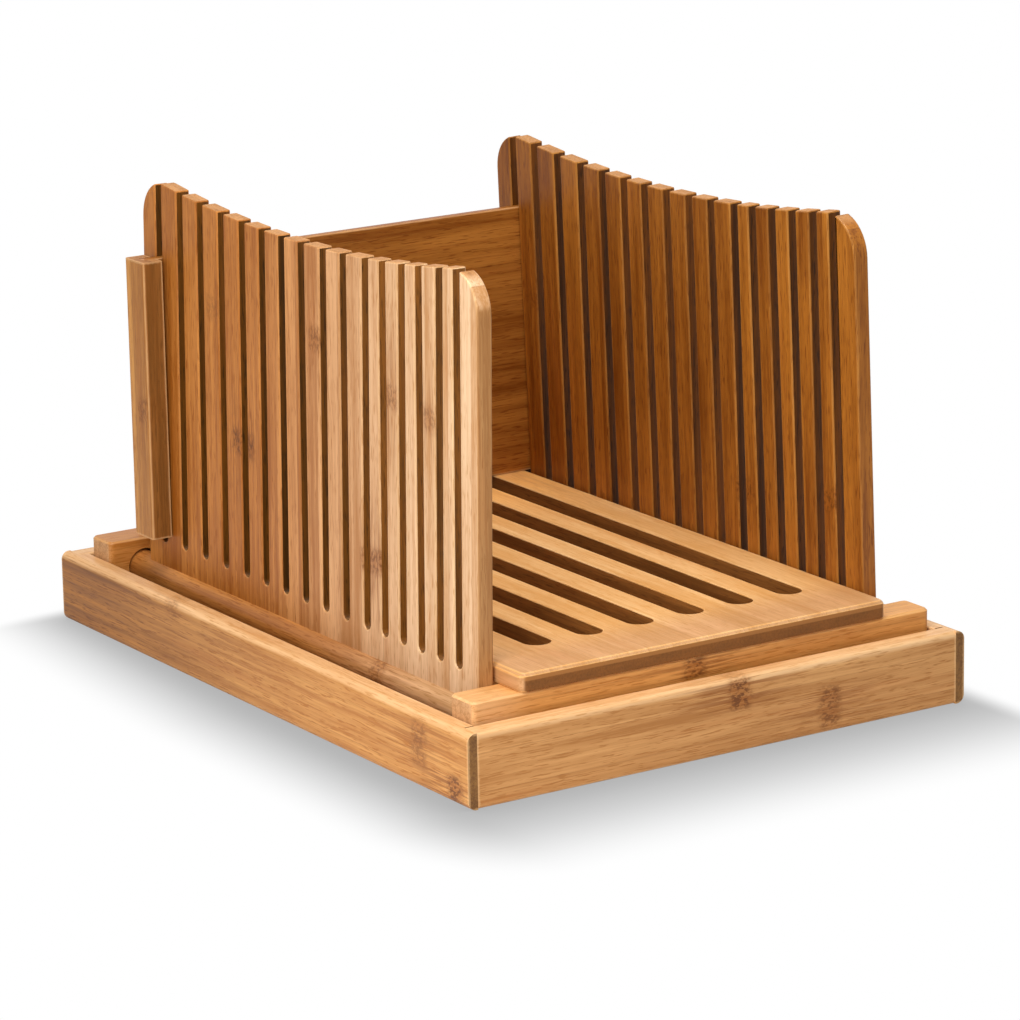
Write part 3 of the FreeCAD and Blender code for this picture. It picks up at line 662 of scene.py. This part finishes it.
def slot_row_tree():
    """Takes a row of long round-ended slots out of the mesh it is given."""
    tree = bpy.data.node_groups.new("slot_row", "GeometryNodeTree")
    make = Maker(tree)
    tree.interface.new_socket("Blank", in_out="INPUT", socket_type="NodeSocketGeometry")
    wanted = {"Count": "Int", "First": "Float", "Pitch": "Float", "Near count": "Float",
              "Middle pitch": "Float", "Middle count": "Float", "Far pitch": "Float",
              "Low": "Float", "High": "Float", "Width": "Float", "Depth": "Float",
              "Lean": "Float", "Seed": "Float", "Turn": "Rotation", "Shift": "Vector",
              "Board": "Material", "Cut": "Material"}
    for name, kind in wanted.items():
        tree.interface.new_socket(name, in_out="INPUT", socket_type="NodeSocket" + kind)
    tree.interface.new_socket("Cut board", in_out="OUTPUT", socket_type="NodeSocketGeometry")
    entry = tree.nodes.new("NodeGroupInput")
    given = {socket.name: Value(make, socket) for socket in entry.outputs if socket.name}

    # Where each slot stands: one pitch, then a second, then a third.
    index = make.node("GeometryNodeInputIndex")
    beyond_near = (index - given["Near count"]).most(0.0)
    middle = beyond_near.least(given["Middle count"])
    far = (beyond_near - given["Middle count"]).most(0.0)
    along = (given["First"] + index.least(given["Near count"]) * given["Pitch"]
             + middle * given["Middle pitch"] + far * given["Far pitch"])
    row = make.node("GeometryNodeMeshLine", None, {"Count": given["Count"]})
    row = make.node("GeometryNodeSetPosition", None, {
        "Geometry": row, "Position": make.vector(along, given["Low"], 0.0)})

    # One cutter: the hull of two short cylinders, with its low end at the origin.
    radius = given["Width"] * 0.5
    end = make.node("GeometryNodeMeshCylinder", None, {
        "Vertices": round_steps, "Radius": radius, "Depth": given["Depth"]})
    reach = given["High"] - given["Low"]
    near_end = make.node("GeometryNodeTransform", None, {
        "Geometry": end, "Translation": make.vector(0.0, radius, 0.0)})
    far_end = make.node("GeometryNodeTransform", None, {
        "Geometry": end, "Translation": make.vector(0.0, reach - radius, 0.0)})
    ends = make.node("GeometryNodeJoinGeometry", None, {"Geometry": near_end})
    tree.links.new(far_end.socket, ends.socket.node.inputs["Geometry"])
    cutter = make.node("GeometryNodeConvexHull", None, {"Geometry": ends})

    # The first slot stands quite straight, because a board has to slide in it.
    later = index > 0.5
    lean = (make.chance(index + given["Seed"]) - 0.5) * (later * given["Lean"] * 2.0)
    cutters = make.node("GeometryNodeInstanceOnPoints", None, {
        "Points": row, "Instance": cutter, "Rotation": make.vector(0.0, 0.0, lean)})
    cutters = make.node("GeometryNodeTransform", None, {
        "Geometry": make.node("GeometryNodeRealizeInstances", None, {"Geometry": cutters}),
        "Rotation": given["Turn"], "Translation": given["Shift"]})
    cutters = make.node("GeometryNodeSetMaterial", None, {
        "Geometry": cutters, "Material": given["Cut"]})

    cut = make.node("GeometryNodeMeshBoolean", {"operation": "DIFFERENCE", "solver": "EXACT"},
                    {"Mesh 1": given["Blank"], "Mesh 2": cutters})
    whole = make.node("GeometryNodeRealizeInstances", None, {"Geometry": cut})
    outside = 1.0 - make.node("GeometryNodeMaterialSelection", None, {"Material": given["Cut"]})
    finished = make.node("GeometryNodeSetMaterial", None, {
        "Geometry": whole, "Selection": outside, "Material": given["Board"]})
    last = tree.nodes.new("NodeGroupOutput")
    tree.links.new(finished.socket, last.inputs[0])
    return tree


slot_row = slot_row_tree()
print("inputs of the slot row:", len(slot_row.interface.items_tree) - 2)

# %% [markdown]
# ## Blanks
#
# A blank is a board before its slots are cut: an outline pushed through the thickness. A
# cube with rounded edges would be quicker, but a Boolean leaves clean edges only on a closed
# shape with flat sides and no loose points. The bread board's outline shrinks a little at
# the top, which makes its wide chamfer.


# %% Outlines and blanks
def arc(centre, radius, start, finish, steps=12):
    """Points on a circle from one angle to another, in degrees."""
    angles = [math.radians(start + (finish - start) * step / steps) for step in range(steps + 1)]
    return [(centre[0] + radius * math.cos(angle), centre[1] + radius * math.sin(angle))
            for angle in angles]


def blank(name, rings, axis):
    """Joins outlines of equal count into a solid; each ring is (outline, level on axis)."""
    def lift(pair, level):
        return (level, *pair) if axis == "X" else (*pair, level)

    count = len(rings[0][0])
    points = [lift(pair, level) for outline, level in rings for pair in outline]
    faces = [tuple(range(count)), tuple(range(len(points) - count, len(points)))]
    for ring in range(len(rings) - 1):
        start = ring * count
        faces += [(start + i, start + (i + 1) % count, start + (i + 1) % count + count,
                   start + i + count) for i in range(count)]
    mesh = bpy.data.meshes.new(name)
    mesh.from_pydata(points, [], faces)
    bm = bmesh.new()
    bm.from_mesh(mesh)
    bmesh.ops.recalc_face_normals(bm, faces=bm.faces)
    bm.to_mesh(mesh)
    bm.free()
    made = bpy.data.objects.new(name, mesh)
    bpy.context.scene.collection.objects.link(made)
    return made


print("points on a quarter turn:", len(arc((0, 0), 1, 0, 90)))

# %% Cutting the slots and easing the edges
ease_steps = 2
eased_from, shaded_sharp_from = math.radians(40), math.radians(14)


def plain_mesh(piece):
    """The mesh that a piece has with its modifiers."""
    bpy.context.view_layer.update()
    return bpy.data.meshes.new_from_object(piece.evaluated_get(
        bpy.context.evaluated_depsgraph_get()))


def cut_and_ease(piece, settings, ease, edge_material):
    """Runs the slot row on a blank, eases every sharp edge and keeps the plain result."""
    row = piece.modifiers.new("slots", "NODES")
    row.node_group = slot_row
    for item in slot_row.interface.items_tree:
        if item.name in settings:
            row[item.identifier] = settings[item.name]
    cut = plain_mesh(piece)
    piece.modifiers.remove(row)
    piece.data = cut
    cut.materials.append(edge_material)
    bevel = piece.modifiers.new("ease", "BEVEL")
    bevel.width = ease
    bevel.segments = ease_steps
    bevel.limit_method = "ANGLE"
    bevel.angle_limit = eased_from
    bevel.use_clamp_overlap = False
    bevel.material = len(cut.materials) - 1
    piece.data = plain_mesh(piece)
    piece.modifiers.remove(bevel)
    for face in piece.data.polygons:
        face.use_smooth = True
    piece.data.set_sharp_from_angle(angle=shaded_sharp_from)
    piece.data.name = piece.name


print("edges are eased in steps:", ease_steps)

# %% [markdown]
# ## Walls
#
# Each wall is a thin board whose top follows a long sweep, low in the middle, with a round
# corner at each end. The rearmost slot takes the back board. The fifteen knife slots in
# front of it come in three pitches, for thick, medium and thin slices. The top could be
# drawn as a free curve, but a sweep that is one large circle, between corners that are small
# circles touching it, leaves no kink where they meet.

# %% A wall's outline
wall_foot = 30.0
wall_front, wall_rear = -153.8, 141.8
front_corner, rear_corner = 19, 18
sweep_radius, sweep_middle, sweep_low, sweep_steps = 980.0, 3.0, 216.6, 24


def wall_outline():
    """Across (Y) and up (Z), in millimetres, from the front foot round to the rear foot."""
    sweep_centre = sweep_low + sweep_radius

    def corner(place, radius):
        reach = sweep_radius + radius
        height = sweep_centre - math.sqrt(reach ** 2 - (place - sweep_middle) ** 2)
        towards = math.degrees(math.atan2(sweep_centre - height, sweep_middle - place))
        return (place, height), towards

    front, front_turn = corner(wall_front + front_corner, front_corner)
    rear, rear_turn = corner(wall_rear - rear_corner, rear_corner)
    top = arc((sweep_middle, sweep_centre), sweep_radius, front_turn - 180, rear_turn - 180,
              sweep_steps)
    return ([(wall_front, wall_foot)] + arc(front, front_corner, 180, front_turn) + top[1:-1]
            + arc(rear, rear_corner, rear_turn, 0) + [(wall_rear, wall_foot)])


print("highest point of a wall in mm:", round(max(up for across, up in wall_outline()), 1))

# %% A wall with its slots
wall_middle, wall_thickness = 105.3, 7.6
hinge_height = 29.0
slot_low, slot_high, slot_width, cutter_depth = 47.8, 240, 6, 30
back_slot = 126.8
thick_pitch, medium_pitch, thin_pitch = -19.7, -18.05, -15.4
wall_slots, thick_slices, medium_slices = 16, 4.0, 6.0
slot_lean = math.radians(0.3)
wall_easing = 0.7


def make_wall(name, side, lean, seed, board, cut, edge):
    """A wall that leans inward by a few degrees about its rod."""
    outline = [(across * mm, up * mm) for across, up in wall_outline()]
    middle, half = side * wall_middle * mm, wall_thickness / 2 * mm
    piece = blank(name, [(outline, middle - half), (outline, middle + half)], "X")
    cut_and_ease(piece, {
        "Count": wall_slots, "First": back_slot * mm,
        "Pitch": thick_pitch * mm, "Near count": thick_slices,
        "Middle pitch": medium_pitch * mm, "Middle count": medium_slices,
        "Far pitch": thin_pitch * mm, "Low": slot_low * mm, "High": slot_high * mm,
        "Width": slot_width * mm, "Depth": cutter_depth * mm, "Lean": slot_lean, "Seed": seed,
        "Turn": (math.pi / 2, 0.0, math.pi / 2), "Shift": (middle, 0.0, 0.0),
        "Board": board, "Cut": cut}, wall_easing * mm, edge)
    hinge = Matrix.Translation((middle, 0.0, hinge_height * mm))
    tilt = Matrix.Rotation(math.radians(-side * lean), 4, "Y")
    piece.data.transform(hinge @ tilt @ hinge.inverted())
    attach(piece, name)
    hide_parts(name)
    print(name, "faces:", len(piece.data.polygons))


# %% [markdown]
# ### The walls' wood
#
# The left wall is honey, painted paler towards the front and darker towards the rear, where
# the lamp's light falls off, and its front end face is painted darker as shade. The right
# wall stands in the shade of the left one, and that shade is painted into its deep red-brown
# tones. Each gets three woods: for its faces, for its rubbed edges, whose paler tone is also
# a painted highlight, and for the insides of its slots, painted dark as shade. The edges
# could be found by the distance to the board's faces, as on the other boards, but here the
# slots have edges too, so the bevel that eases them carries their wood.

# %% The walls' wood, and both walls
wall_strip = 0.0185
wall_top_tones = ("#C99058", "#9A6430")
left_marks = [(172.6, 76, 7, 0.35), (174.4, -17, 6, 0.7), (112.5, 49, 13, 1.0),
              (159.7, -83, 6, 0.6), (156.4, -113, 8, 0.5), (80.5, -67, 14, 0.8)]
right_marks = [(144, 115, 8, 0.5), (81, -63, 9, 0.9), (90.5, -131, 9, 0.9)]
# Painted shade: the left wall darkens towards the rear, and on its front end face.
left_wall_shade_fades = [("Y", -128, 58, "#D48A40", "#9C5616"),
              ("Y", -152.9, -153.7, "#CC9A62", "#9C6A3A")]
# Painted shade deeper in the left wall's slots, darker towards the rear.
left_slot_shade_fade = ("Y", -110, 20, "#70420F", "#3E2506")


def wall_wood(name, light, dark, seed, **more):
    return bamboo(name, "Z", "Y", light, dark, strip=wall_strip, seed=seed, **more)


# The slots' woods are dark tones: painted shade inside the slots.
left_slot_shade_wood = wall_wood("left_slot_shade_bamboo", "#9A6024", "#5C3812", 7.0,
                           fades=[left_slot_shade_fade])
right_slot_shade_wood = wall_wood("right_slot_shade_bamboo", "#7E460C", "#442404", 11.0)
# The edge woods are paler: worn by handling, and a painted highlight.
left_wood, left_edge = (
    wall_wood(name, light, dark, 97.0, marks=left_marks, end=wall_top_tones, fades=left_wall_shade_fades)
    for name, light, dark in (("left_wall_bamboo", "#E8C096", "#BE8854"),
                              ("left_wall_edge_bamboo", "#EBC596", "#C6935E")))
# The right wall's deep red-brown tones are painted shade, cast on it by the left wall.
right_shade_wood, right_shade_edge = (
    wall_wood(name, light, dark, 101.0, marks=right_marks, end=wall_top_tones)
    for name, light, dark in (("right_wall_shade_bamboo", "#BC7628", "#7C420E"),
                              ("right_wall_edge_shade_bamboo", "#C6853A", "#8A5016")))
make_wall("left_wall", -1, 1.0, 5.0, left_wood, left_slot_shade_wood, left_edge)
make_wall("right_wall", 1, 1.9, 40.0, right_shade_wood, right_slot_shade_wood, right_shade_edge)

# %% [markdown]
# ## Bread board
#
# The loaf lies here. Six long slots let the crumbs fall through to the tray. The board is
# the palest piece, darker towards its front edge and painted paler towards the rear, as
# light where the walls' shade would fall. Its cut front end is dark end grain, with a paler
# band painted along its top, where light falls on it from above, and the insides of its
# slots are painted dark as shade. It has the same row of slots as the walls, laid flat and
# in one pitch, so that a second way of cutting isn't needed. Its edges are eased less than
# the walls', because the wide chamfer round its top already takes the hand.

# %% The bread board's blank
board_half, board_reach, board_low, board_high = 99.4, 173.4, 43.8, 52.2
board_corner, board_chamfer = 4.0, 1.5


def board_outline(inset):
    """The board seen from above, drawn in by the inset at its corners' own centres."""
    x, y, radius = board_half - board_corner, board_reach - board_corner, board_corner - inset
    points = []
    for across, back, start in ((x, y, 0), (-x, y, 90), (-x, -y, 180), (x, -y, 270)):
        points += arc((across * mm, back * mm), radius * mm, start, start + 90)
    return points


bread_board = blank("bread_board", [
    (board_outline(0), board_low * mm),
    (board_outline(0), (board_high - board_chamfer) * mm),
    (board_outline(board_chamfer), board_high * mm)], "Z")
print("points on the board's outline:", len(board_outline(0)))

# %% The bread board's slots and wood
crumb_first, crumb_pitch, crumb_slots = -65.2, 27.6, 6
crumb_end, crumb_width = 139.9, 13.4
board_easing = 0.5
board_strip = 0.026
board_end_tones = ("#84501F", "#6C4218")
# A painted lit band along the top of the cut front end, where light falls on it from above.
board_end_lit_band = (48.9, "#A46C36")
# The first fade darkens the front margin; the second is painted light towards the rear, where the
# walls' shade would darken the board.
board_fades = [("Y", -125, -160, "#DCA878", "#BE8A56"), ("Y", 20, 120, "#FFBE6A", "#DC9A58")]


def board_wood(name, light, dark, seed, **more):
    return bamboo(name, "Y", "X", light, dark, strip=board_strip, seed=seed, **more)


board_top = board_wood("bread_board_bamboo", "#F4C488", "#D89C58", 61.0, end=board_end_tones,
                       end_step=board_end_lit_band, streak=0.65, fades=board_fades)
# The crumb slots' dark tones are painted shade inside the slots.
crumb_slot_shade = board_wood("crumb_slot_shade_bamboo", "#B8783A", "#805024", 63.0,
                        end=("#B8783A", "#805024"))
board_edge = board_wood("board_edge_bamboo", "#F3C58A", "#DBA05C", 61.0, end=board_end_tones,
                        end_step=board_end_lit_band)
cut_and_ease(bread_board, {
    "Count": crumb_slots, "First": crumb_first * mm,
    "Pitch": crumb_pitch * mm, "Near count": float(crumb_slots),
    "Middle pitch": 0.0, "Middle count": 0.0, "Far pitch": 0.0,
    "Low": -crumb_end * mm, "High": crumb_end * mm, "Width": crumb_width * mm,
    "Depth": cutter_depth * mm, "Lean": 0.0, "Seed": 0.0, "Turn": (0.0, 0.0, 0.0),
    "Shift": (0.0, 0.0, board_high * mm), "Board": board_top, "Cut": crumb_slot_shade},
    board_easing * mm, board_edge)
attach(bread_board, "frame")
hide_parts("bread_board")
print("bread board faces:", len(bread_board.data.polygons))

# %% [markdown]
# ## Size
#
# A scene made round a packed model must not change its size.
